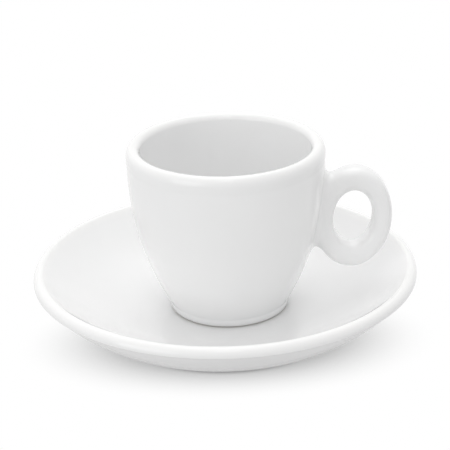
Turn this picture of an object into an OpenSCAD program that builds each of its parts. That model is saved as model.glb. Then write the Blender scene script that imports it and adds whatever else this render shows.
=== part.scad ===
// Espresso cup with saucer: a thick porcelain cup with a ring handle, standing in its saucer.
// Millimetres. The origin is the centre of the saucer's foot on the table, +Z is up and the
// handle points along +X. Every section is drawn as radius against height.

/* [Saucer] */
// Diameter over the rim
saucer_d = 120; // [110:1:140]
// Height of the rim above the table
saucer_h = 19.5; // [18:0.1:26]
// Height of the rim's rounded outer edge
saucer_edge_h = 2.6; // [2:0.1:4]
// Width of the rim's rounded outer edge, from the rim's highest point outwards
saucer_edge_w = 2.2; // [1.6:0.1:4]
// Radius of the rim's inner shoulder, where the slope turns level
saucer_shoulder_r = 1.6; // [1.2:0.1:4]
// Height of the well, where the cup stands, above the table
well_h = 5.2; // [4.8:0.1:7]
// Flat margin of the well past the cup's foot
well_margin = 0.3; // [0.2:0.1:4]
// How far the cup stands off the saucer's middle, towards its handle
cup_shift = 1.2; // [0:0.1:2]
// Outside diameter of the foot ring
saucer_foot_d = 73; // [62:1:84]
// Width of the foot ring
saucer_foot_w = 4; // [3:0.1:8]
// Height of the foot's upright side, below the belly
saucer_foot_h = 0.8; // [0.7:0.1:2]
// Depth of the hollow inside the foot ring
saucer_hollow_h = 1.8; // [1:0.1:2.5]

/* [Cup] */
// Diameter over the lip
cup_d = 61; // [56:0.1:72]
// Height from the foot to the lip
cup_h = 53.8; // [51:0.1:64]
// Thickness of the wall
wall_t = 4; // [3:0.1:5]
// How far the rolled lip stands proud of the wall
lip_proud = 0.15; // [0.1:0.05:0.6]
// Height over which the lip's outside runs into the wall
lip_roll_h = 3.2; // [2:0.1:5]
// Height of the wall's widest point above the foot's underside
crown_h = 47; // [38:0.1:49]
// Diameter of the foot
cup_foot_d = 36.6; // [31:0.1:39]
// Height of the foot's upright side
cup_foot_h = 2.8; // [1.8:0.1:3.4]
// Width of the foot ring
cup_foot_w = 3.5; // [2.5:0.1:6]
// Depth of the hollow inside the foot ring
cup_hollow_h = 2; // [1:0.1:3]
// Thickness of the floor above that hollow
cup_floor_t = 4.5; // [3:0.1:7]

/* [Handle] */
// Overall width of the ring, away from the cup
ring_w = 24.3; // [20:0.1:32]
// Overall height of the ring
ring_h = 32.6; // [28:0.1:40]
// Width of the finger hole
hole_w = 12.1; // [9:0.1:15]
// Height of the finger hole
hole_h = 18; // [14:0.1:22]
// Thickness of the ring, seen from above
ring_t = 8.6; // [6:0.1:11]
// Reach of the ring's rounded edges across its face
ring_edge_w = 2; // [1.2:0.1:2.6]
// Reach of the ring's rounded edges through its thickness
ring_edge_t = 2.6; // [1.5:0.1:2.9]
// Height of the ring's centre above the cup's foot
ring_z = 28.7; // [24:0.1:33]
// How deep the ring is let into the wall
ring_sink = 1.8; // [1:0.1:2.5]
// How far the ring leans out at the top, in degrees
ring_lean = 4.6; // [0:0.1:14]
// How far the root's hollow fillet climbs from the wall up the ring
root_climb = 2.3; // [1.5:0.1:2.5]
// How far that fillet spreads over the wall, in front and behind
root_spread = 1.4; // [1:0.1:2]
// How far the root runs past the ring, above and below
root_over = 5.8; // [3:0.1:6.5]

/* [Edges] */
// Rounding of the foot rings' edges
foot_edge_r = 0.6; // [0.3:0.1:0.7]

/* [Hidden] */
porcelain = "#f6f5f1";
$fn = 96;
long_arc_steps = 28;
short_arc_steps = 14;
round_steps = 8;
edge_steps = 4;

saucer_edge = [saucer_edge_w, saucer_edge_h];
saucer_edge_c = [saucer_d / 2, saucer_h] - saucer_edge;
saucer_shoulder_c = [saucer_edge_c.x, saucer_h - saucer_shoulder_r];
well_r = cup_foot_d / 2 + cup_shift + well_margin;
rim_run = saucer_edge_c.x - well_r;
// The slope rises from the edge of the well and meets the rim's shoulder without a corner.
slope_rise = saucer_shoulder_c.y - well_h;
slope_r = (rim_run ^ 2 + slope_rise ^ 2 - saucer_shoulder_r ^ 2) / (2 * (saucer_h - well_h));
slope_c = [well_r, well_h + slope_r];
slope_end = atan2(slope_c.y - saucer_shoulder_c.y, -rim_run);
// The belly bows from the lower end of the rim's edge to the top of the foot's side.
saucer_foot_r = saucer_foot_d / 2;
belly_top = [saucer_d / 2 - well_r, saucer_edge_c.y];
belly_foot = [saucer_foot_r - well_r, saucer_foot_h];
belly_lift = (belly_top * belly_top - belly_foot * belly_foot) / (2 * (belly_top.y - belly_foot.y));
belly_c = [well_r, belly_lift];
belly_r = norm(belly_foot - [0, belly_lift]);
belly_end = atan2(belly_top.y - belly_lift, belly_top.x);
belly_start = atan2(belly_foot.y - belly_lift, belly_foot.x);

cup_place = [cup_shift, 0, well_h];
lip_r = (wall_t + lip_proud) / 2;
lip_c = [cup_d / 2 - lip_r, cup_h - lip_r];
lip_drop = crown_h - lip_c.y;
roll_r = (lip_roll_h ^ 2 + lip_proud ^ 2) / (2 * lip_proud);
roll_c = [cup_d / 2 - roll_r, lip_c.y];
roll_end = -asin(lip_roll_h / roll_r);
// The wall bows out from the top of the foot to the end of the lip's roll.
wall_top_p = [cup_d / 2 - lip_proud, lip_c.y - lip_roll_h];
wall_foot_p = [cup_foot_d / 2, cup_foot_h];
top_drop = crown_h - wall_top_p.y;
foot_drop = crown_h - wall_foot_p.y;
wall_span = wall_top_p.x - wall_foot_p.x;
wall_mid = (wall_top_p.x + wall_foot_p.x) / 2;
wall_c = [wall_mid - (foot_drop ^ 2 - top_drop ^ 2) / (2 * wall_span), crown_h];
wall_curve_r = norm(wall_top_p - wall_c);
wall_top = -asin(top_drop / wall_curve_r);
wall_foot = -asin(foot_drop / wall_curve_r);
// The inside follows the wall and ends in a round bowl that meets it without a corner.
inner_curve_r = wall_curve_r - wall_t;
inner_c = [lip_c.x - lip_r - sqrt(inner_curve_r ^ 2 - lip_drop ^ 2), crown_h];
inner_floor_h = cup_hollow_h + cup_floor_t;
floor_drop = crown_h - inner_floor_h;
bowl_r = (inner_curve_r ^ 2 - inner_c.x ^ 2 - floor_drop ^ 2) / (2 * (inner_curve_r - floor_drop));
bowl_c = [0, inner_floor_h + bowl_r];
bowl_end = atan2(bowl_c.y - inner_c.y, -inner_c.x);
lip_start = asin((lip_c.y - crown_h) / inner_curve_r);

// Radius of the cup's wall at the height of the ring's centre, and its slope there
root_drop = crown_h - ring_z;
root_r = wall_c.x + sqrt(wall_curve_r ^ 2 - root_drop ^ 2);
root_slope = asin(root_drop / wall_curve_r);
ring_c = [root_r - ring_sink + ring_w / 2, 0, ring_z];
ring_edge = [ring_edge_w, ring_edge_t];
ring_corner = [ring_w / 2, ring_t / 2] - ring_edge;
hole_corner = [hole_w / 2 + ring_edge_w, ring_corner.y];
cut_over = 1;
// The fillet starts inside the ring's side and runs out into the wall, which curves away below it.
root_inset = 0.6;
root_bite = 0.15;
fillet_turn = 80;
fillet_start_r = ring_t / 2 - root_inset;
fillet_end_r = fillet_start_r + root_spread;
fillet_w = root_spread / (1 - cos(fillet_turn));
// The ring is taller than it is thick, and so is its root.
root_reach = ring_c.x - root_r;
root_chord = ring_h * sqrt(1 - (root_reach / (ring_w / 2)) ^ 2);
root_half_h = root_chord / 2 + root_over;
root_stretch = root_half_h / fillet_end_r;
wall_fall = root_half_h ^ 2 / (2 * wall_curve_r) + root_bite;
fillet_h = (root_climb + wall_fall) / sin(fillet_turn);
root_depth = wall_fall + ring_sink;
// The wall slopes more than the ring leans, so the two meet higher at the top than at the bottom.
root_tip = root_slope - ring_lean;
root_shift = root_reach * (ring_h ^ 2 - ring_w ^ 2) * sin(root_tip) * cos(root_tip)
    / ((ring_w * cos(root_tip)) ^ 2 + (ring_h * sin(root_tip)) ^ 2);

// Points along an oval arc with half-axes h, from angle a to angle b
function oval_arc(c, h, a, b, steps) =
    [for (t = [0 : steps]) let (turn = a + (b - a) * t / steps) c + [h.x * cos(turn), h.y * sin(turn)]];

// Points along a round arc
function arc(c, r, a, b, steps) = oval_arc(c, [r, r], a, b, steps);

// Foot ring from its outer side, with rounded edges, to the hollow inside it
function foot_ring(r, w, hollow) = concat(
    arc([r - foot_edge_r, foot_edge_r], foot_edge_r, 0, -90, edge_steps),
    arc([r - w + foot_edge_r, foot_edge_r], foot_edge_r, -90, -180, edge_steps),
    arc([r - w - foot_edge_r, hollow - foot_edge_r], foot_edge_r, 0, 90, edge_steps),
    [[0, hollow]]);

function wall_points() = arc(wall_c, wall_curve_r, wall_top, wall_foot, long_arc_steps);

module saucer_section() {
    polygon(concat(
        [[0, well_h]],
        arc(slope_c, slope_r, -90, slope_end - 180, long_arc_steps),
        arc(saucer_shoulder_c, saucer_shoulder_r, slope_end, 90, round_steps),
        oval_arc(saucer_edge_c, saucer_edge, 90, 0, short_arc_steps),
        arc(belly_c, belly_r, belly_end, belly_start, long_arc_steps),
        foot_ring(saucer_foot_r, saucer_foot_w, saucer_hollow_h)));
}

module cup_section() {
    polygon(concat(
        arc(bowl_c, bowl_r, -90, bowl_end, short_arc_steps),
        arc(inner_c, inner_curve_r, bowl_end, lip_start, long_arc_steps),
        arc(lip_c, lip_r, 180, 0, short_arc_steps),
        arc(roll_c, roll_r, 0, roll_end, edge_steps),
        wall_points(),
        foot_ring(cup_foot_d / 2, cup_foot_w, cup_hollow_h)));
}

// The cup's outside, filled solid, that the handle's root is fitted to
module cup_outside() {
    rotate_extrude()
        polygon(concat([[0, wall_points()[0].y]], wall_points(), [[cup_foot_d / 2, 0], [0, 0]]));
}

// Half of the section of the ring, filled to its middle, with rounded edges
module disc_section() {
    polygon(concat(
        [[0, -ring_t / 2]],
        oval_arc([ring_corner.x, -ring_corner.y], ring_edge, -90, 0, round_steps),
        oval_arc(ring_corner, ring_edge, 0, 90, round_steps),
        [[0, ring_t / 2]]));
}

// Half of the section of the finger hole, flared at both ends
module hole_section() {
    end_h = ring_t / 2 + cut_over;
    polygon(concat(
        [[0, -end_h], [hole_corner.x, -end_h]],
        oval_arc([hole_corner.x, -hole_corner.y], ring_edge, 270, 180, round_steps),
        oval_arc(hole_corner, ring_edge, 180, 90, round_steps),
        [[hole_corner.x, end_h], [0, end_h]]));
}

// A section turned round and then stretched upright
module upright_oval(stretch) {
    scale([1, 1, stretch]) rotate([90, 0, 0]) rotate_extrude() children();
}

// Oval ring with an oval finger hole
module ring() {
    translate(ring_c) rotate([0, ring_lean, 0]) difference() {
        upright_oval(ring_h / ring_w) disc_section();
        upright_oval(hole_h / hole_w) hole_section();
    }
}

// Half of the root's section: a stub with a hollow fillet round it
module root_section() {
    fillet_c = [fillet_start_r + fillet_w, root_climb];
    polygon(concat(
        [[0, -root_depth], [fillet_end_r, -root_depth]],
        oval_arc(fillet_c, [fillet_w, fillet_h], 180 + fillet_turn, 180, short_arc_steps),
        [[0, root_climb]]));
}

// Flared root, square to the wall
module root() {
    translate([root_r, 0, ring_z]) rotate([0, 90 + root_slope, 0]) translate([-root_shift, 0, 0])
        scale([root_stretch, 1, 1]) rotate_extrude() root_section();
}

module saucer() {
    color(porcelain) rotate_extrude() saucer_section();
}

module cup_body() {
    color(porcelain) translate(cup_place) rotate_extrude() cup_section();
}

module handle() {
    color(porcelain) translate(cup_place) difference() {
        union() {
            ring();
            root();
        }
        cup_outside();
    }
}

saucer();
cup_body();
handle();
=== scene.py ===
"""White porcelain espresso cup with an oval ring handle, standing loose in its dished saucer."""

import logging
import math
from dataclasses import dataclass, field
from enum import Enum
from itertools import product
from typing import Any, Callable, ClassVar, Sequence, Union

import bpy
import numpy as np
from mathutils import Matrix, Vector


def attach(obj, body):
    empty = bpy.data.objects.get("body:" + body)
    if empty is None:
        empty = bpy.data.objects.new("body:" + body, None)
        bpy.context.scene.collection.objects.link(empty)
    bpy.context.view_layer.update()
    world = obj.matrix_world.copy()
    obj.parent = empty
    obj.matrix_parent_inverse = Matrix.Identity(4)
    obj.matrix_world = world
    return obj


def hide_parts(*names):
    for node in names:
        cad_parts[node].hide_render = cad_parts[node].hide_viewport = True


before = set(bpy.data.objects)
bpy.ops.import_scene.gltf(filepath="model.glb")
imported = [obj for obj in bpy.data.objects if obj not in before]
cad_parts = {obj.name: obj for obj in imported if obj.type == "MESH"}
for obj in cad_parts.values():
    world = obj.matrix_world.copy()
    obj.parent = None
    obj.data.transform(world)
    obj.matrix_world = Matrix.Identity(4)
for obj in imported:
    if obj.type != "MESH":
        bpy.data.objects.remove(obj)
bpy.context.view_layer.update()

LOG = logging.getLogger("espresso_set")
MM = 0.001
QUARTER = math.pi / 2
ROUND_FACETS = 256
SAME_SPOT = 1e-6
PROBE = 0.01
CLOUD_MIDDLE = 0.5

Point = tuple[float, float]
Colour = tuple[float, float, float, float]
Number = Union[int, float]
PAPER_WHITE: Colour = (1.0, 1.0, 1.0, 1.0)


class Body(Enum):
    """The two loose pieces that the set comes apart into."""

    SAUCER = "saucer"
    CUP = "cup"


class Wire:
    """One output of a node, on which shader sums are written as Python expressions."""

    def __init__(self, bench: "GlazeBench", socket: Union[bpy.types.NodeSocket, None]) -> None:
        """Wraps a socket of the bench's node tree, or nothing where a node has no output."""
        self.bench = bench
        self.socket = socket

    def sum_with(self, operation: str, left: "WireOrNumber", right: "WireOrNumber") -> "Wire":
        """Adds one Math node.

        Args:
            operation: The Math node's operation.
            left: First value.
            right: Second value.

        Returns:
            The node's result.
        """
        return self.bench.node("ShaderNodeMath", {"operation": operation}, {0: left, 1: right})

    def __add__(self, other: "WireOrNumber") -> "Wire":
        """Sum of two values."""
        return self.sum_with("ADD", self, other)

    def __radd__(self, other: Number) -> "Wire":
        """Sum with a number in front."""
        return self.sum_with("ADD", other, self)

    def __sub__(self, other: "WireOrNumber") -> "Wire":
        """Difference of two values."""
        return self.sum_with("SUBTRACT", self, other)

    def __rsub__(self, other: Number) -> "Wire":
        """Difference from a number in front."""
        return self.sum_with("SUBTRACT", other, self)

    def __mul__(self, other: "WireOrNumber") -> "Wire":
        """Product of two values."""
        return self.sum_with("MULTIPLY", self, other)

    def __rmul__(self, other: Number) -> "Wire":
        """Product with a number in front."""
        return self.sum_with("MULTIPLY", other, self)

    def at_least(self, other: "WireOrNumber") -> "Wire":
        """The larger of two values."""
        return self.sum_with("MAXIMUM", self, other)

    def power(self, exponent: Number) -> "Wire":
        """The value raised to a power."""
        return self.sum_with("POWER", self, exponent)

    def ease(self, low: float, high: float) -> "Wire":
        """Runs smoothly from 0 at one value to 1 at another.

        Args:
            low: Value that gives 0.
            high: Value that gives 1; it may be below low.

        Returns:
            The eased value.
        """
        start, end, near, far = (low, high, 0.0, 1.0) if low < high else (high, low, 1.0, 0.0)
        return self.bench.node(
            "ShaderNodeMapRange",
            {"interpolation_type": "SMOOTHSTEP"},
            {"Value": self, "From Min": start, "From Max": end, "To Min": near, "To Max": far},
        )


WireOrNumber = Union[Wire, Number]


class GlazeBench:
    """Builds the nodes of one material or of the world."""

    # Numbers of the Mix node's sockets for colours, because their names repeat.
    MIX_SHARE, MIX_FIRST, MIX_SECOND, MIX_RESULT = 0, 6, 7, 2

    def __init__(self, tree: bpy.types.NodeTree) -> None:
        """Clears the tree and starts afresh."""
        self.tree = tree
        tree.nodes.clear()

    def node(self, kind: str, settings: dict[str, Any], sockets: dict[Any, Any], output: Any = 0) -> Wire:
        """Adds any node.

        Args:
            kind: The node's type.
            settings: Its properties, set before its sockets.
            sockets: Values or wires for its inputs, by name or number.
            output: Which output to return, by name or number.

        Returns:
            The chosen output.
        """
        made = self.tree.nodes.new(kind)
        for name, value in settings.items():
            setattr(made, name, value)
        for name, value in sockets.items():
            if isinstance(value, Wire):
                self.tree.links.new(value.socket, made.inputs[name])
            else:
                made.inputs[name].default_value = value
        return Wire(self, made.outputs[output] if len(made.outputs) else None)

    def blend(self, share: WireOrNumber, first: Any, second: Any) -> Wire:
        """Mixes two colours.

        Args:
            share: 0 gives the first colour, 1 the second.
            first: Colour or wire.
            second: Colour or wire.

        Returns:
            The mixed colour.
        """
        sockets = {self.MIX_SHARE: share, self.MIX_FIRST: first, self.MIX_SECOND: second}
        return self.node("ShaderNodeMix", {"data_type": "RGBA"}, sockets, self.MIX_RESULT)

    def place(self) -> Wire:
        """Place on the piece, in metres, which moves with the piece."""
        return self.node("ShaderNodeTexCoord", {}, {}, "Object")

    def cloud(self, place: Wire, size: float, detail: float) -> Wire:
        """Soft noise.

        Args:
            place: Where on the piece.
            size: Width of one cloud, in millimetres.
            detail: How many finer layers it has.

        Returns:
            Noise from 0 to 1.
        """
        sockets = {"Vector": place, "Scale": 1 / (size * MM), "Detail": detail}
        return self.node("ShaderNodeTexNoise", {"noise_dimensions": "3D"}, sockets, "Fac")


@dataclass(frozen=True)
class Glaze:
    """Clear gloss glaze over white porcelain, wiped off the foot before firing. The bare foot is coloured
    darker than bare porcelain, as painted shade for the crevice where it stands.

    Sizes are in millimetres.
    """

    name: str
    foot_z: float
    lip_z: float
    white: Colour = (0.9, 0.9, 0.899, 1.0)
    thick_white: Colour = (0.881, 0.885, 0.887, 1.0)
    thin_white: Colour = (0.93, 0.928, 0.92, 1.0)
    # Bare foot tone: unglazed porcelain, painted darker as shade for the crevice under the foot.
    bare_with_contact_shade: Colour = (0.6, 0.58, 0.54, 1.0)
    speck_grey: Colour = (0.6, 0.58, 0.54, 1.0)
    glaze_index: float = 1.5
    glaze_roughness: float = 0.03
    drift_roughness: float = 0.02
    bare_roughness: float = 0.75
    wiped_h: float = 0.6
    wiped_edge: float = 0.15
    wander_size: float = 6.0
    wander_h: float = 0.3
    pool_top: float = 7.0
    pool_full: float = 1.5
    pool_share: float = 0.7
    thin_h: float = 2.2
    thin_share: float = 0.8
    drift_size: float = 26.0
    drift_span: Point = (0.3, 0.7)
    drift_share: float = 0.3
    speck_size: float = 0.7
    speck_span: Point = (0.86, 0.9)
    speck_share: float = 0.1
    ripple_size: float = 5.0
    ripple_h: float = 0.004
    grain_size: float = 0.25
    grain_h: float = 0.02

    def material(self) -> bpy.types.Material:
        """Makes the finish.

        Returns:
            The material.
        """
        made = bpy.data.materials.new(self.name)
        made.use_nodes = True
        bench = GlazeBench(made.node_tree)
        place = bench.place()
        height = bench.node("ShaderNodeSeparateXYZ", {}, {0: place}, "Z")
        wiped_z = self.foot_z + self.wiped_h
        wander = (bench.cloud(place, self.wander_size, detail=2) - CLOUD_MIDDLE) * (self.wander_h * MM)
        bare_and_shade = (height + wander).ease(wiped_z * MM, (wiped_z - self.wiped_edge) * MM)
        pooled = height.ease((self.foot_z + self.pool_top) * MM, (self.foot_z + self.pool_full) * MM)
        thin = height.ease((self.lip_z - self.thin_h) * MM, self.lip_z * MM)
        drift = bench.cloud(place, self.drift_size, detail=2).ease(*self.drift_span)
        speck = bench.cloud(place, self.speck_size, detail=0).ease(*self.speck_span)
        thick = pooled * self.pool_share + drift * self.drift_share
        tone = bench.blend(thick, self.white, self.thick_white)
        tone = bench.blend(thin * self.thin_share, tone, self.thin_white)
        tone = bench.blend(speck * self.speck_share, tone, self.speck_grey)
        # Painted shade: the dark tone of the bare foot also stands in for the contact shadow where the
        # foot stands.
        tone = bench.blend(bare_and_shade, tone, self.bare_with_contact_shade)
        gloss = self.glaze_roughness + self.drift_roughness * drift
        roughness = gloss + bare_and_shade * (self.bare_roughness - gloss)
        ripple = bench.cloud(place, self.ripple_size, detail=1) * self.ripple_h * (1 - bare_and_shade)
        grain = bench.cloud(place, self.grain_size, detail=3) * self.grain_h * bare_and_shade
        relief = {"Strength": 1.0, "Distance": MM, "Height": ripple + grain}
        normal = bench.node("ShaderNodeBump", {}, relief)
        shader = bench.node(
            "ShaderNodeBsdfPrincipled",
            {},
            {"Base Color": tone, "Roughness": roughness, "IOR": self.glaze_index, "Normal": normal},
        )
        bench.node("ShaderNodeOutputMaterial", {}, {"Surface": shader})
        return made


@dataclass
class Section:
    """Half of a turned piece's outline, as radius against height in millimetres."""

    hollow_shares: ClassVar[tuple[float, ...]] = (0.75, 0.5, 0.25, 0.0)
    points: list[Point] = field(default_factory=list)
    normals: list[Point] = field(default_factory=list)

    def add(self, point: Point, normal: Point) -> None:
        """Adds one point, unless the last one is there already.

        Args:
            point: Radius and height.
            normal: Direction out of the porcelain.
        """
        if not self.points or math.dist(point, self.points[-1]) > SAME_SPOT:
            self.points.append(point)
            self.normals.append(normal)

    def arc(
        self,
        centre: Point,
        radius: float,
        start: float,
        end: float,
        steps: int,
        hollow: bool = False,
        tall: float = 1.0,
    ) -> None:
        """Adds a round or oval stretch.

        Args:
            centre: Centre of the arc.
            radius: Its radius.
            start: Angle of its first point, in radians.
            end: Angle of its last point.
            steps: Number of facets.
            hollow: True where the porcelain lies outside the circle.
            tall: How much taller than wide the circle is drawn.
        """
        way = -1.0 if hollow else 1.0
        for turn in np.linspace(start, end, steps + 1):
            out, up = math.cos(turn), math.sin(turn)
            steep = math.hypot(out, up / tall) * way
            point = (centre[0] + radius * out, centre[1] + radius * tall * up)
            self.add(point, (out / steep, up / tall / steep))

    def foot(self, outer: float, width: float, hollow_h: float, edge: float, turn: Point) -> "Section":
        """Adds a foot ring with rounded edges, and the hollow inside it up to the axis.

        Args:
            outer: Outer radius of the foot.
            width: Width of the ring.
            hollow_h: Depth of the hollow.
            edge: Radius of the inner edges.
            turn: Width and height over which the outer edge turns under.

        Returns:
            The section itself.
        """
        inner = outer - width
        self.arc((outer - turn[0], turn[1]), turn[0], 0, -QUARTER, steps=12, tall=turn[1] / turn[0])
        self.arc((inner + edge, edge), edge, -QUARTER, -2 * QUARTER, steps=8)
        self.arc((inner - edge, hollow_h - edge), edge, 0, QUARTER, steps=8, hollow=True)
        for share in self.hollow_shares:
            self.add(((inner - edge) * share, hollow_h), (0.0, -1.0))
        return self

    def turned(self, name: str, axis: Point, base: float) -> bpy.types.Object:
        """Turns the section round an upright axis.

        Args:
            name: The piece's name.
            axis: Where the axis stands, in millimetres.
            base: Height of the section's zero, in millimetres.

        Returns:
            The piece.
        """
        turns = np.arange(ROUND_FACETS) * (2 * math.pi / ROUND_FACETS)
        corners: list[tuple[float, float, float]] = []
        shading: list[tuple[float, float, float]] = []
        rows: list[list[int]] = []
        for (radius, height), (out, up) in zip(self.points, self.normals):
            row_turns = turns if radius > SAME_SPOT else turns[:1]
            rows.append([len(corners) + count for count in range(len(row_turns))])
            for turn in row_turns:
                across = (math.cos(turn), math.sin(turn))
                corners.append((axis[0] + radius * across[0], axis[1] + radius * across[1], base + height))
                shading.append((out * across[0], out * across[1], up))
        faces: list[tuple[int, ...]] = []
        for upper, lower in zip(rows, rows[1:]):
            for here in range(ROUND_FACETS):
                there = (here + 1) % ROUND_FACETS
                ring = (upper[here % len(upper)], lower[here % len(lower)])
                ring += (lower[there % len(lower)], upper[there % len(upper)])
                faces.append(tuple(dict.fromkeys(ring)))
        return mesh_piece(name, np.array(corners), faces, np.array(shading))


def mesh_piece(
    name: str, corners: np.ndarray, faces: Sequence[Sequence[int]], shading: np.ndarray
) -> bpy.types.Object:
    """Makes a smooth piece from corners in millimetres.

    Args:
        name: The piece's name.
        corners: One row per corner.
        faces: Corner numbers of each face.
        shading: Surface normal at each corner.

    Returns:
        The piece, in the scene.
    """
    mesh = bpy.data.meshes.new(name)
    mesh.from_pydata((corners * MM).tolist(), [], [list(face) for face in faces])
    mesh.validate()
    mesh.shade_smooth()
    mesh.normals_split_custom_set_from_vertices(shading.tolist())
    piece = bpy.data.objects.new(name, mesh)
    bpy.context.scene.collection.objects.link(piece)
    return piece


def outer_fillet(first: Point, first_r: float, second: Point, second_r: float, radius: float) -> Point:
    """Finds the centre of a hollow fillet that touches two circles from outside.

    Args:
        first: Centre of one circle.
        first_r: Its radius.
        second: Centre of the other.
        second_r: Its radius.
        radius: Radius of the fillet.

    Returns:
        The fillet's centre, on the side away from the axis.
    """
    reach, far_reach = first_r + radius, second_r + radius
    span = math.dist(first, second)
    along = (reach**2 - far_reach**2 + span**2) / (2 * span)
    side = math.sqrt(reach**2 - along**2)
    way = ((second[0] - first[0]) / span, (second[1] - first[1]) / span)
    foot = (first[0] + along * way[0], first[1] + along * way[1])
    return max((foot[0] - turn * way[1], foot[1] + turn * way[0]) for turn in (side, -side))


def steepest(level: Callable[[np.ndarray], np.ndarray], places: np.ndarray) -> np.ndarray:
    """Finds the steepest way up where each place has a level.

    Args:
        level: Gives one value per place.
        places: Rows of millimetres.

    Returns:
        One row per place.
    """
    ways = PROBE * np.eye(3)
    return np.stack([(level(places + way) - level(places - way)) / (2 * PROBE) for way in ways], axis=-1)


def bearing(start: Point, end: Point) -> float:
    """Angle of the way from one point to another, in radians."""
    return math.atan2(end[1] - start[1], end[0] - start[0])


class Porcelain:
    """A fired piece that stands for one solid of the frame."""

    node: ClassVar[str]
    slot: ClassVar[str]
    body: ClassVar[Body]

    def build(self) -> bpy.types.Object:
        """Makes the bare piece."""
        raise NotImplementedError

    def dress(self, finish: bpy.types.Material) -> None:
        """Makes the piece, glazes it and lets it stand for its solid.

        Args:
            finish: Its material.
        """
        piece = self.build()
        piece.data.materials.append(finish)
        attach(piece, self.body.value)
        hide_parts(self.node)
        LOG.info("%s: %d faces, moves with the %s", piece.name, len(piece.data.polygons), self.body.value)


@dataclass
class Saucer(Porcelain):
    """Dished saucer with a rounded rim, a flat well for the cup and a foot ring.

    Sizes are in millimetres.
    """

    node: ClassVar[str] = "saucer"
    slot: ClassVar[str] = "saucer_glaze"
    body: ClassVar[Body] = Body.SAUCER
    well_shares: ClassVar[tuple[float, ...]] = (0.0, 0.35, 0.7)
    rim_r: float = 60.0
    height: float = 19.5
    edge_w: float = 2.2
    edge_h: float = 2.6
    shoulder: float = 1.6
    well_h: float = 5.2
    well_r: float = 19.8
    foot_r: float = 36.5
    foot_w: float = 4.0
    foot_h: float = 0.8
    hollow_h: float = 1.8
    foot_edge: float = 0.6
    step: float = 0.25

    def section(self) -> Section:
        """Draws the section.

        Returns:
            The section, from the middle of the well over the rim to the middle of the underside.
        """
        edge_c = (self.rim_r - self.edge_w, self.height - self.edge_h)
        shoulder_c = (edge_c[0], self.height - self.shoulder)
        run = shoulder_c[0] - self.well_r
        rise = shoulder_c[1] - self.well_h
        slope_r = (run**2 + rise**2 - self.shoulder**2) / (2 * (rise + self.shoulder))
        slope_c = (self.well_r, self.well_h + slope_r)
        top = (self.rim_r - 2 * self.step, edge_c[1] - self.step)
        foot = (self.foot_r, self.foot_h)
        gain = (top[0] - self.well_r) ** 2 + top[1] ** 2 - (foot[0] - self.well_r) ** 2 - foot[1] ** 2
        belly_c = (self.well_r, gain / (2 * (top[1] - foot[1])))
        belly_r = math.dist(belly_c, foot)
        drawn = Section()
        for share in self.well_shares:
            drawn.add((self.well_r * share, self.well_h), (0.0, 1.0))
        drawn.arc(slope_c, slope_r, -QUARTER, bearing(slope_c, shoulder_c), steps=48, hollow=True)
        drawn.arc(shoulder_c, self.shoulder, bearing(shoulder_c, slope_c), QUARTER, steps=16)
        drawn.arc(edge_c, self.edge_w, QUARTER, 0, steps=24, tall=self.edge_h / self.edge_w)
        drawn.arc((self.rim_r - self.step, edge_c[1]), self.step, 0, -QUARTER, steps=6)
        drawn.arc(belly_c, belly_r, bearing(belly_c, top), bearing(belly_c, foot), steps=40)
        turn = (self.foot_edge, self.foot_h)
        return drawn.foot(self.foot_r, self.foot_w, self.hollow_h, self.foot_edge, turn)

    def build(self) -> bpy.types.Object:
        """Turns the saucer."""
        return self.section().turned("saucer_dish", (0.0, 0.0), 0.0)

    def finish(self) -> Glaze:
        """The saucer's glaze."""
        return Glaze(self.slot, foot_z=0.0, lip_z=self.height)


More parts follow.
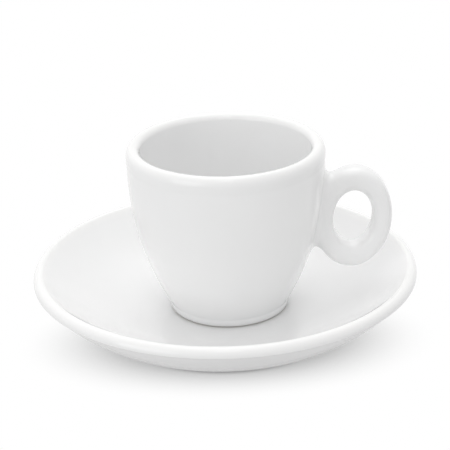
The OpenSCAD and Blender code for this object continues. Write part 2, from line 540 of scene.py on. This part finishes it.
@dataclass
class CupBody(Porcelain):
    """Thick cup with a bowed wall, a rolled lip, a round bowl inside and a foot ring.

    Sizes are in millimetres.
    """

    node: ClassVar[str] = "cup_body"
    slot: ClassVar[str] = "cup_glaze"
    body: ClassVar[Body] = Body.CUP
    axis_x: float = 1.2
    base: float = 5.2
    lip_radius: float = 30.5
    height: float = 53.8
    wall_t: float = 4.0
    lip_proud: float = 0.15
    lip_fall: float = 3.0
    lip_roll_h: float = 3.2
    crown_h: float = 47.0
    foot_r: float = 18.8
    foot_h: float = 2.8
    foot_w: float = 3.5
    hollow_h: float = 2.0
    floor_t: float = 4.5
    foot_edge: float = 0.9
    foot_turn: Point = (1.5, 2.3)
    foot_fillet: float = 1.5
    lip_fillet: float = 9.0

    @property
    def lip_roll(self) -> float:
        """Radius of the rolled lip."""
        return (self.wall_t + self.lip_proud) / 2

    @property
    def lip_c(self) -> Point:
        """Centre of the rolled lip."""
        return (self.lip_radius - self.lip_roll, self.height - self.lip_roll)

    @property
    def wall_c(self) -> Point:
        """Finds the centre of the wall's curve.

        Returns:
            The centre from which the curve passes under the lip and through the top of the foot.
        """
        top_x = self.lip_radius - self.lip_proud
        top_drop = self.crown_h - self.lip_c[1] + self.lip_roll_h
        foot_drop = self.crown_h - self.foot_h
        middle = (top_x + self.foot_r) / 2
        return (middle - (foot_drop**2 - top_drop**2) / (2 * (top_x - self.foot_r)), self.crown_h)

    @property
    def wall_r(self) -> float:
        """Radius of the wall's curve."""
        return math.dist(self.wall_c, (self.foot_r, self.foot_h))

    def section(self) -> Section:
        """Draws the section.

        Returns:
            The section, from the middle of the bowl over the lip to the middle of the underside.
        """
        lip_c, wall_c, wall_r = self.lip_c, self.wall_c, self.wall_r
        inner_r = wall_r - self.wall_t
        inner_x = lip_c[0] - self.lip_roll - math.sqrt(inner_r**2 - (self.crown_h - lip_c[1]) ** 2)
        inner_c = (inner_x, self.crown_h)
        floor_h = self.hollow_h + self.floor_t
        drop = self.crown_h - floor_h
        bowl_r = (inner_r**2 - inner_x**2 - drop**2) / (2 * (inner_r - drop))
        bowl_c = (0.0, floor_h + bowl_r)
        bowl_end = bearing(inner_c, bowl_c)
        fall_h = self.height - self.lip_fall
        roll_h = fall_h - lip_c[1] + self.lip_roll_h
        roll_r = (roll_h**2 + self.lip_proud**2) / (2 * self.lip_proud)
        roll_c = (self.lip_radius - roll_r, fall_h)
        ease_c = outer_fillet(roll_c, roll_r, wall_c, wall_r, self.lip_fillet)
        foot_x = self.foot_r + self.foot_fillet
        foot_y = wall_c[1] - math.sqrt((wall_r + self.foot_fillet) ** 2 - (foot_x - wall_c[0]) ** 2)
        foot_c = (foot_x, foot_y)
        drawn = Section()
        drawn.arc(bowl_c, bowl_r, -QUARTER, bowl_end, steps=32, hollow=True)
        inner_end = math.asin((lip_c[1] - self.crown_h) / inner_r)
        drawn.arc(inner_c, inner_r, bowl_end, inner_end, steps=32, hollow=True)
        drawn.arc(lip_c, self.lip_roll, math.pi, QUARTER, steps=16)
        fall = self.lip_fall / self.lip_roll
        drawn.arc((lip_c[0], fall_h), self.lip_roll, QUARTER, 0, steps=20, tall=fall)
        drawn.arc(roll_c, roll_r, 0, bearing(roll_c, ease_c), steps=6)
        ease_start, ease_end = (bearing(ease_c, end) % (2 * math.pi) for end in (roll_c, wall_c))
        drawn.arc(ease_c, self.lip_fillet, ease_start, ease_end, steps=6, hollow=True)
        drawn.arc(wall_c, wall_r, bearing(wall_c, ease_c), bearing(wall_c, foot_c), steps=48)
        drawn.arc(foot_c, self.foot_fillet, bearing(foot_c, wall_c), math.pi, steps=10, hollow=True)
        return drawn.foot(self.foot_r, self.foot_w, self.hollow_h, self.foot_edge, self.foot_turn)

    def build(self) -> bpy.types.Object:
        """Turns the cup's body."""
        return self.section().turned("cup_shell", (self.axis_x, 0.0), self.base)

    def wall_gap(self, places: np.ndarray) -> np.ndarray:
        """Distance of places from the cup's outside, below 0 inside it.

        Args:
            places: Rows of millimetres from the cup's axis and foot.

        Returns:
            One distance per row.
        """
        radius = np.hypot(places[..., 0], places[..., 1])
        return np.hypot(radius - self.wall_c[0], places[..., 2] - self.wall_c[1]) - self.wall_r

    def finish(self) -> Glaze:
        """The cup's glaze."""
        return Glaze(self.slot, foot_z=self.base, lip_z=self.base + self.height)


@dataclass
class RingHandle(Porcelain):
    """Oval ring with rounded edges, drawn into the cup's wall by a soft hollow fillet round its root.

    Sizes are in millimetres. The guards keep a division from running off where nothing rises.
    """

    node: ClassVar[str] = "handle"
    slot: ClassVar[str] = "handle_glaze"
    body: ClassVar[Body] = Body.CUP
    cup: CupBody
    width: float = 24.3
    height: float = 32.6
    hole_w: float = 12.1
    hole_h: float = 18.0
    thickness: float = 8.6
    square: float = 3.0
    centre_h: float = 28.75
    sink: float = 1.8
    lean: float = math.radians(4.6)
    root_blend: float = 5.0
    net_pitch: float = 0.4
    net_low: tuple[float, float, float] = (20.0, -9.0, 9.0)
    net_high: tuple[float, float, float] = (53.0, 9.0, 48.0)
    band_rounds: int = 7
    band_reach: Point = (-1.8, 8.0)
    band_guard: float = 1e-6
    level_guard: float = 0.02
    settle_rounds: int = 8
    settle_guard: float = 1e-9

    def ring_level(self, places: np.ndarray) -> np.ndarray:
        """Tells how far places are from the middle of the ring's band.

        Args:
            places: Rows of millimetres from the cup's axis and foot.

        Returns:
            One value per row: 0 in the middle of the band, 1 on its surface.
        """
        cup = self.cup
        wall_x = cup.wall_c[0] + math.sqrt(cup.wall_r**2 - (cup.crown_h - self.centre_h) ** 2)
        away = places[..., 0] - (wall_x - self.sink + self.width / 2)
        above = places[..., 2] - self.centre_h
        out = away * math.cos(self.lean) - above * math.sin(self.lean)
        up = away * math.sin(self.lean) + above * math.cos(self.lean)
        middle = ((self.width + self.hole_w) / 4, (self.height + self.hole_h) / 4)
        half = ((self.width - self.hole_w) / 4, (self.height - self.hole_h) / 4)
        across = np.zeros(places.shape[:-1])
        for _ in range(self.band_rounds):
            wide, tall = middle[0] + across * half[0], middle[1] + across * half[1]
            miss = (out / wide) ** 2 + (up / tall) ** 2 - 1
            steep = 2 * (out**2 / wide**3 * half[0] + up**2 / tall**3 * half[1])
            across = np.clip(across + miss / np.maximum(steep, self.band_guard), *self.band_reach)
        side = np.abs(places[..., 1]) / (self.thickness / 2)
        return (np.abs(across) ** self.square + side**self.square) ** (1 / self.square)

    def ring_gap(self, places: np.ndarray) -> np.ndarray:
        """Distance of places from the bare ring, below 0 inside it.

        Args:
            places: Rows of millimetres from the cup's axis and foot.

        Returns:
            One distance per row, exact close to the ring.
        """
        steep = np.linalg.norm(steepest(self.ring_level, places), axis=-1)
        return (self.ring_level(places) - 1) / np.maximum(steep, self.level_guard)

    def skin(self, places: np.ndarray) -> np.ndarray:
        """Distance of places from ring and wall drawn together.

        Args:
            places: Rows of millimetres from the cup's axis and foot.

        Returns:
            One value per row, 0 on the skin.
        """
        ring, wall = self.ring_gap(places), self.cup.wall_gap(places)
        near = np.maximum(self.root_blend - np.abs(ring - wall), 0) / self.root_blend
        return np.minimum(ring, wall) - near**2 * self.root_blend / 4

    def settle(self, places: np.ndarray) -> np.ndarray:
        """Moves places onto the skin.

        Args:
            places: Rows close to the skin.

        Returns:
            The moved rows.
        """
        for _ in range(self.settle_rounds):
            slope = steepest(self.skin, places)
            steep = np.maximum((slope**2).sum(axis=-1), self.settle_guard)
            places = places - slope * (self.skin(places) / steep)[:, None]
        return places

    def net(self) -> tuple[np.ndarray, np.ndarray]:
        """Lays a net of four-sided faces over the skin, one corner in each cell that the skin crosses.

        Returns:
            The corners, and the corner numbers of each face.
        """
        axes = [np.arange(low, high, self.net_pitch) for low, high in zip(self.net_low, self.net_high)]
        places = np.stack(np.meshgrid(*axes, indexing="ij"), axis=-1)
        inside = self.skin(places) < 0
        count = tuple(size - 1 for size in inside.shape)
        cell_corners = list(product((0, 1), repeat=3))
        held = sum(
            inside[i : i + count[0], j : j + count[1], k : k + count[2]].astype(int)
            for i, j, k in cell_corners
        )
        crossed = (held > 0) & (held < len(cell_corners))
        number = np.full(count, -1)
        number[crossed] = np.arange(crossed.sum())
        corners = places[:-1, :-1, :-1][crossed] + self.net_pitch / 2
        faces = []
        for way in range(3):
            first, second = (way + 1) % 3, (way + 2) % 3
            begin = [slice(1, -1)] * 3
            begin[way] = slice(0, -1)
            end = list(begin)
            end[way] = slice(1, None)
            near, far = inside[tuple(begin)], inside[tuple(end)]
            spots = np.argwhere(near != far) + [0 if axis == way else 1 for axis in range(3)]
            leaves = near[near != far]
            around = []
            for back_first, back_second in ((1, 1), (0, 1), (0, 0), (1, 0)):
                cell = spots.copy()
                cell[:, first] -= back_first
                cell[:, second] -= back_second
                around.append(number[tuple(cell.T)])
            quads = np.stack(around, axis=-1)
            quads[~leaves] = quads[~leaves][:, ::-1]
            faces.append(quads)
        return corners, np.concatenate(faces)

    def open_edge(self, faces: np.ndarray) -> np.ndarray:
        """Finds the open edge that the skin has on the wall.

        Args:
            faces: Corner numbers of the skin's four-sided faces.

        Returns:
            Pairs of corner numbers along the edge, turned for the faces of a lid.
        """
        sides = np.stack([faces, np.roll(faces, -1, axis=1)], axis=-1).reshape(-1, 2)
        count = faces.max() + 1
        there, back = sides @ [count, 1], sides @ [1, count]
        return sides[~np.isin(back, there)][:, ::-1]

    def build(self) -> bpy.types.Object:
        """Makes the handle, ending where its fillet lies flat on the wall, with a lid inside the wall.

        Returns:
            The piece.
        """
        corners, faces = self.net()
        corners = self.settle(corners)
        kept = (self.ring_gap(corners) < self.root_blend)[faces].all(axis=1) & (faces >= 0).all(axis=1)
        faces = faces[kept]
        used, faces = np.unique(faces, return_inverse=True)
        corners = corners[used]
        faces = faces.reshape(-1, 4)
        edge = self.open_edge(faces)
        lid = [(first, second, len(corners)) for first, second in edge.tolist()]
        corners = np.vstack([corners, corners[edge[:, 0]].mean(axis=0)])
        shading = steepest(self.skin, corners)
        shading /= np.linalg.norm(shading, axis=1, keepdims=True)
        stand = [self.cup.axis_x, 0.0, self.cup.base]
        return mesh_piece("ring_handle", corners + stand, faces.tolist() + lid, shading)


@dataclass(frozen=True)
class Softbox:
    """Square soft lamp that points at the cup.

    Sizes are in millimetres, angles in degrees and the power in watts.
    """

    name: str
    bearing: float
    rise: float
    power: float
    size: float = 600.0
    distance: float = 1000.0
    aim_h: float = 30.0

    def hang(self) -> None:
        """Hangs the lamp, its bearing counted from +X and its rise from the floor."""
        data = bpy.data.lights.new(self.name, "AREA")
        data.shape = "SQUARE"
        data.size = self.size * MM
        data.energy = self.power
        lamp = bpy.data.objects.new(self.name, data)
        turn, climb = math.radians(self.bearing), math.radians(self.rise)
        level = math.cos(climb)
        way = Vector((level * math.cos(turn), level * math.sin(turn), math.sin(climb)))
        lamp.location = Vector((0.0, 0.0, self.aim_h * MM)) + way * (self.distance * MM)
        lamp.rotation_euler = (-way).to_track_quat("-Z", "Y").to_euler()
        bpy.context.scene.collection.objects.link(lamp)


@dataclass
class Studio:
    """White floor and room, soft lamps and the photograph's camera.

    Sizes are in millimetres. The camera's pitch, yaw and roll are in radians, the glow's rise in degrees.
    """

    eye: tuple[float, float, float] = (1.2, -441.8, 221.1)
    pitch: float = 0.4048
    yaw: float = -0.0018
    roll: float = -0.0292
    lens: float = 123.57
    sensor_w: float = 36.0
    near_clip: float = 10.0
    room_light: float = 0.8
    glow_light: float = 2.2
    glow_rise: float = 55.0
    glow_falloff: float = 24.0
    softboxes: tuple[Softbox, ...] = (
        Softbox("top_softbox", bearing=90.0, rise=90.0, power=0.9),
        Softbox("left_softbox", bearing=225.0, rise=12.0, power=1.5),
        Softbox("front_softbox", bearing=270.0, rise=57.0, power=0.3, size=200.0),
    )
    floor_white: Colour = (0.6, 0.6, 0.6, 1.0)
    floor_reach: float = 4000.0
    floor_gap: float = 0.01
    shadow_y: float = -16.0
    shadow_squash: float = 1.73
    shadow_core: float = 10.0
    shadow_edge: float = 66.0
    contact_core: float = 35.0
    contact_edge: float = 39.0

    def camera(self) -> None:
        """Stands the camera where the photograph was taken."""
        across, forward = math.sin(self.yaw), math.cos(self.yaw)
        flat = math.cos(self.pitch)
        ahead = Vector((across * flat, forward * flat, -math.sin(self.pitch)))
        level = Vector((forward, -across, 0.0))
        upright = level.cross(ahead)
        right = math.cos(self.roll) * level + math.sin(self.roll) * upright
        above = -math.sin(self.roll) * level + math.cos(self.roll) * upright
        data = bpy.data.cameras.new("photo_camera")
        data.lens = self.lens
        data.sensor_width = self.sensor_w
        data.clip_start = self.near_clip * MM
        stand = bpy.data.objects.new("photo_camera", data)
        facing = Matrix((right, above, -ahead)).transposed().to_4x4()
        stand.matrix_world = Matrix.Translation(Vector(self.eye) * MM) @ facing
        bpy.context.scene.collection.objects.link(stand)
        bpy.context.scene.camera = stand

    def floor(self) -> None:
        """Lays the white floor, which keeps the set's shadow where the eye sees it, faded out by a painted
        glow.
        """
        mesh = bpy.data.meshes.new("floor")
        sides = ((-1, -1), (1, -1), (1, 1), (-1, 1))
        reach, gap = self.floor_reach * MM, self.floor_gap * MM
        corners = [(x * reach, y * reach, -gap) for x, y in sides]
        mesh.from_pydata(corners, [], [(0, 1, 2, 3)])
        plane = bpy.data.objects.new("floor", mesh)
        bpy.context.scene.collection.objects.link(plane)
        paint = bpy.data.materials.new("floor_white")
        paint.use_nodes = True
        bench = GlazeBench(paint.node_tree)
        place = bench.place()
        squash = (1.0, self.shadow_squash, 0.0)
        shift = (0.0, -self.shadow_y * MM * self.shadow_squash, 0.0)
        stretch = {0: place, 1: squash, 2: shift}
        spread = bench.node("ShaderNodeVectorMath", {"operation": "MULTIPLY_ADD"}, stretch)
        away, off_axis = (
            bench.node("ShaderNodeVectorMath", {"operation": "LENGTH"}, {0: spot}, "Value")
            for spot in (spread, place)
        )
        # Painted shadow fade: the seen floor glows paper white outside an oval round the set; only inside
        # it, and within the saucer's foot circle, does the real shadow show.
        clear = off_axis.ease(self.contact_core * MM, self.contact_edge * MM)
        white = away.ease(self.shadow_core * MM, self.shadow_edge * MM) * clear * self.seen(bench)
        matt = bench.node("ShaderNodeBsdfDiffuse", {}, {"Color": self.floor_white})
        paper = bench.node("ShaderNodeEmission", {}, {"Color": PAPER_WHITE})
        both = bench.node("ShaderNodeMixShader", {}, {0: white, 1: matt, 2: paper})
        bench.node("ShaderNodeOutputMaterial", {}, {"Surface": both})
        mesh.materials.append(paint)

    def seen(self, bench: GlazeBench) -> Wire:
        """Tells what is seen, mirrored or seen through from what only lights the set.

        Args:
            bench: Where the nodes go.

        Returns:
            1 where the eye looks, 0 elsewhere.
        """
        kinds = ("Is Camera Ray", "Is Glossy Ray", "Is Transmission Ray")
        looks = [bench.node("ShaderNodeLightPath", {}, {}, kind) for kind in kinds]
        return looks[0].at_least(looks[1]).at_least(looks[2])

    def sky(self) -> None:
        """Fills the room with even light and a soft glow behind, and makes it white where it is seen."""
        world = bpy.data.worlds.new("white_room")
        bpy.context.scene.world = world
        world.use_nodes = True
        bench = GlazeBench(world.node_tree)
        rise = math.radians(self.glow_rise)
        middle = (0.0, math.cos(rise), math.sin(rise))
        way = bench.node("ShaderNodeTexCoord", {}, {}, "Generated")
        along = {0: way, 1: middle}
        facing = bench.node("ShaderNodeVectorMath", {"operation": "DOT_PRODUCT"}, along, "Value")
        patch = facing.at_least(0.0).power(self.glow_falloff)
        strength = self.room_light + (1 - self.room_light) * self.seen(bench) + self.glow_light * patch
        glow = bench.node("ShaderNodeBackground", {}, {"Color": PAPER_WHITE, "Strength": strength})
        bench.node("ShaderNodeOutputWorld", {}, {"Surface": glow})

    def build(self) -> None:
        """Sets up camera, floor, room and lamps."""
        self.camera()
        self.floor()
        self.sky()
        for softbox in self.softboxes:
            softbox.hang()
        bpy.context.scene.view_settings.view_transform = "Standard"
        LOG.info("studio set")


def main() -> None:
    """Builds the studio, the saucer, the cup and its handle."""
    logging.basicConfig(level=logging.INFO, format="%(name)s: %(message)s")
    Studio().build()
    saucer = Saucer()
    saucer.dress(saucer.finish().material())
    cup = CupBody()
    cup_glaze = cup.finish().material()
    cup.dress(cup_glaze)
    RingHandle(cup).dress(cup_glaze)


if __name__ == "__main__":
    main()
